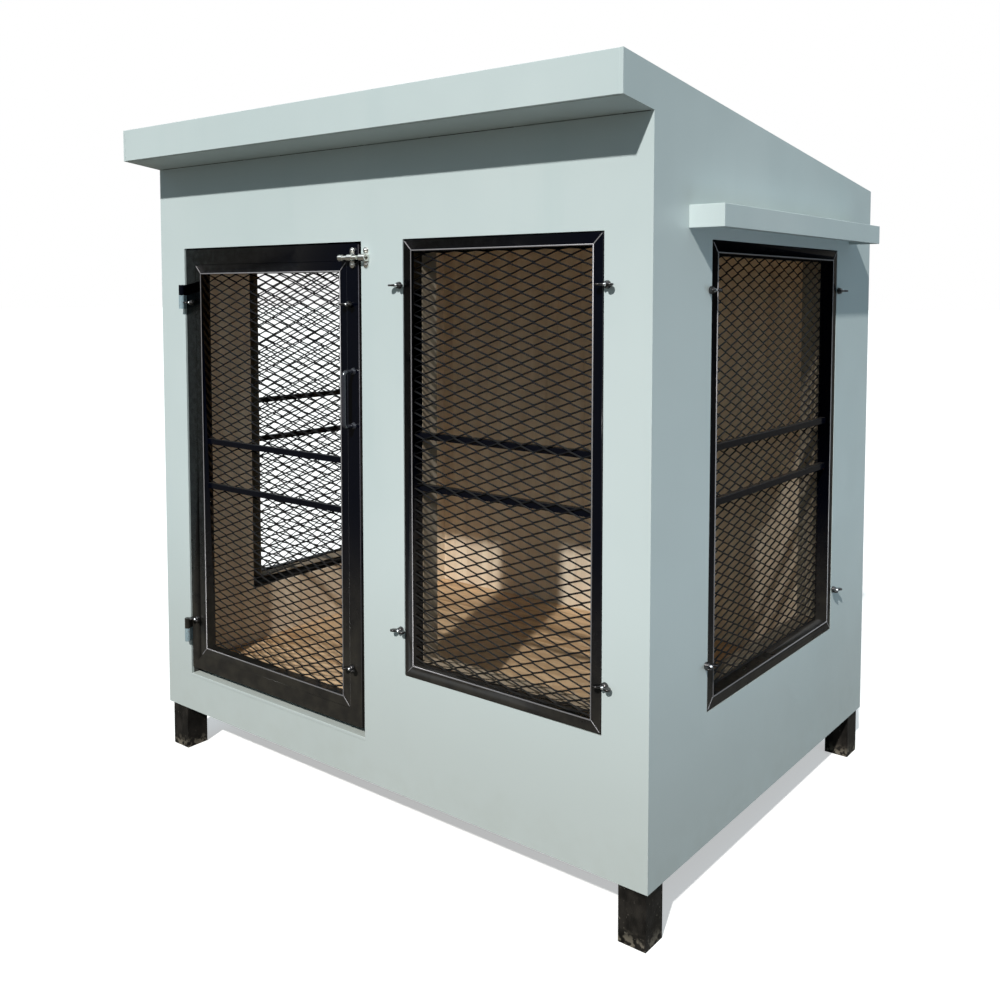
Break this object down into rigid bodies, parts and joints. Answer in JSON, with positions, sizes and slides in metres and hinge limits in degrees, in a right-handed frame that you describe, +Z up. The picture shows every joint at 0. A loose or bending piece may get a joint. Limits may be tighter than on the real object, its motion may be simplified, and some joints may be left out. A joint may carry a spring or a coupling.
{
  "type": "calf hutch",
  "caption": "Raised boarded hutch on four tube legs with a sloping roof, a mesh door with barrel bolt and pull handle, and mesh windows held by wing nuts.",
  "frame": {"origin": "centre of the bounding box in plan, on the ground under the legs", "axes": "+X to the right seen from the door side, +Y to the back, +Z up"},
  "size_m": [1.34, 0.984, 1.33],
  "materials": {
    "leg_enamel": "black paint, dusty on the legs",
    "frame_enamel": "gloss black enamel",
    "mesh_enamel": "gloss black enamel",
    "wall_paint": "satin pale blue-green paint on board",
    "lining_board": "bare beige board",
    "floor_wood": "matt wood-grain planks",
    "hinge_paint": "wall paint over steel",
    "stainless": "polished stainless steel",
    "zinc": "bright zinc plate",
    "frame_steel": "black paint"
  },
  "bodies": {
    "house": {"post_front_left": "leg_enamel", "post_front_right": "leg_enamel", "post_rear_left": "leg_enamel", "post_rear_right": "leg_enamel", "base_frame": "frame_steel", "wall_frame": "frame_steel", "roof_rafters": "frame_steel", "door_sill": "wall_paint", "floor_planks": "floor_wood", "front_cladding": "wall_paint", "rear_cladding": "wall_paint", "left_cladding": "wall_paint", "right_cladding": "wall_paint", "front_lining": "lining_board", "rear_lining": "lining_board", "left_lining": "lining_board", "right_lining": "lining_board", "ceiling_lining": "lining_board", "roof_deck": "wall_paint", "eave_boards": "wall_paint", "right_canopy": "wall_paint", "left_canopy": "wall_paint", "front_window_frame": "frame_enamel", "front_window_mesh": "mesh_enamel", "front_window_bars": "frame_enamel", "right_window_frame": "frame_enamel", "right_window_mesh": "mesh_enamel", "right_window_bars": "frame_enamel", "left_window_frame": "frame_enamel", "left_window_mesh": "mesh_enamel", "left_window_bars": "frame_enamel", "window_studs": "zinc", "hinge_pintles": "hinge_paint", "bolt_keeper": "stainless"},
    "door": {"door_frame": "frame_enamel", "door_panel_frame": "frame_enamel", "door_mesh": "mesh_enamel", "door_bars": "frame_enamel", "door_handle": "frame_enamel", "hinge_sleeves": "frame_enamel", "bolt_plate": "stainless", "bolt_screws": "stainless", "door_studs": "zinc"},
    "bolt": {"bolt_rod": "stainless"},
    "front_window_nut_1": {"front_window_nut_1": "zinc"},
    "front_window_nut_2": {"front_window_nut_2": "zinc"},
    "front_window_nut_3": {"front_window_nut_3": "zinc"},
    "front_window_nut_4": {"front_window_nut_4": "zinc"},
    "right_window_nut_1": {"right_window_nut_1": "zinc"},
    "right_window_nut_2": {"right_window_nut_2": "zinc"},
    "right_window_nut_3": {"right_window_nut_3": "zinc"},
    "right_window_nut_4": {"right_window_nut_4": "zinc"},
    "left_window_nut_1": {"left_window_nut_1": "zinc"},
    "left_window_nut_2": {"left_window_nut_2": "zinc"},
    "left_window_nut_3": {"left_window_nut_3": "zinc"},
    "left_window_nut_4": {"left_window_nut_4": "zinc"},
    "door_nut_1": {"door_nut_1": "zinc"},
    "door_nut_2": {"door_nut_2": "zinc"},
    "door_nut_3": {"door_nut_3": "zinc"},
    "door_nut_4": {"door_nut_4": "zinc"}
  },
  "joints": [
    {"name": "door_swing", "type": "hinge", "parent": "house", "child": "door", "pos_m": [-0.5255, -0.417, 0.633], "axis": [0, 0, -1], "range_deg": [0, 170]},
    {"name": "bolt_slide", "type": "slide", "parent": "door", "child": "bolt", "axis": [1, 0, 0], "range_m": [0, 0.012]},
    {"name": "front_window_nut_1_turn", "type": "hinge", "parent": "house", "child": "front_window_nut_1", "pos_m": [0.103, -0.408, 0.398], "axis": [0, -1, 0], "continuous": true},
    {"name": "front_window_nut_2_turn", "type": "hinge", "parent": "house", "child": "front_window_nut_2", "pos_m": [0.533, -0.408, 0.398], "axis": [0, -1, 0], "continuous": true},
    {"name": "front_window_nut_3_turn", "type": "hinge", "parent": "house", "child": "front_window_nut_3", "pos_m": [0.103, -0.408, 1.008], "axis": [0, -1, 0], "continuous": true},
    {"name": "front_window_nut_4_turn", "type": "hinge", "parent": "house", "child": "front_window_nut_4", "pos_m": [0.533, -0.408, 1.008], "axis": [0, -1, 0], "continuous": true},
    {"name": "right_window_nut_1_turn", "type": "hinge", "parent": "house", "child": "right_window_nut_1", "pos_m": [0.61, -0.232, 0.396], "axis": [1, 0, 0], "continuous": true},
    {"name": "right_window_nut_2_turn", "type": "hinge", "parent": "house", "child": "right_window_nut_2", "pos_m": [0.61, 0.314, 0.396], "axis": [1, 0, 0], "continuous": true},
    {"name": "right_window_nut_3_turn", "type": "hinge", "parent": "house", "child": "right_window_nut_3", "pos_m": [0.61, -0.232, 1], "axis": [1, 0, 0], "continuous": true},
    {"name": "right_window_nut_4_turn", "type": "hinge", "parent": "house", "child": "right_window_nut_4", "pos_m": [0.61, 0.314, 1], "axis": [1, 0, 0], "continuous": true},
    {"name": "left_window_nut_1_turn", "type": "hinge", "parent": "house", "child": "left_window_nut_1", "pos_m": [-0.61, 0.314, 0.396], "axis": [-1, 0, 0], "continuous": true},
    {"name": "left_window_nut_2_turn", "type": "hinge", "parent": "house", "child": "left_window_nut_2", "pos_m": [-0.61, -0.232, 0.396], "axis": [-1, 0, 0], "continuous": true},
    {"name": "left_window_nut_3_turn", "type": "hinge", "parent": "house", "child": "left_window_nut_3", "pos_m": [-0.61, 0.314, 1], "axis": [-1, 0, 0], "continuous": true},
    {"name": "left_window_nut_4_turn", "type": "hinge", "parent": "house", "child": "left_window_nut_4", "pos_m": [-0.61, -0.232, 1], "axis": [-1, 0, 0], "continuous": true},
    {"name": "door_nut_1_turn", "type": "hinge", "parent": "door", "child": "door_nut_1", "pos_m": [-0.501, -0.406, 0.3], "axis": [0, -1, 0], "continuous": true},
    {"name": "door_nut_2_turn", "type": "hinge", "parent": "door", "child": "door_nut_2", "pos_m": [-0.025, -0.406, 0.3], "axis": [0, -1, 0], "continuous": true},
    {"name": "door_nut_3_turn", "type": "hinge", "parent": "door", "child": "door_nut_3", "pos_m": [-0.501, -0.406, 0.974], "axis": [0, -1, 0], "continuous": true},
    {"name": "door_nut_4_turn", "type": "hinge", "parent": "door", "child": "door_nut_4", "pos_m": [-0.025, -0.406, 0.974], "axis": [0, -1, 0], "continuous": true}
  ]
}
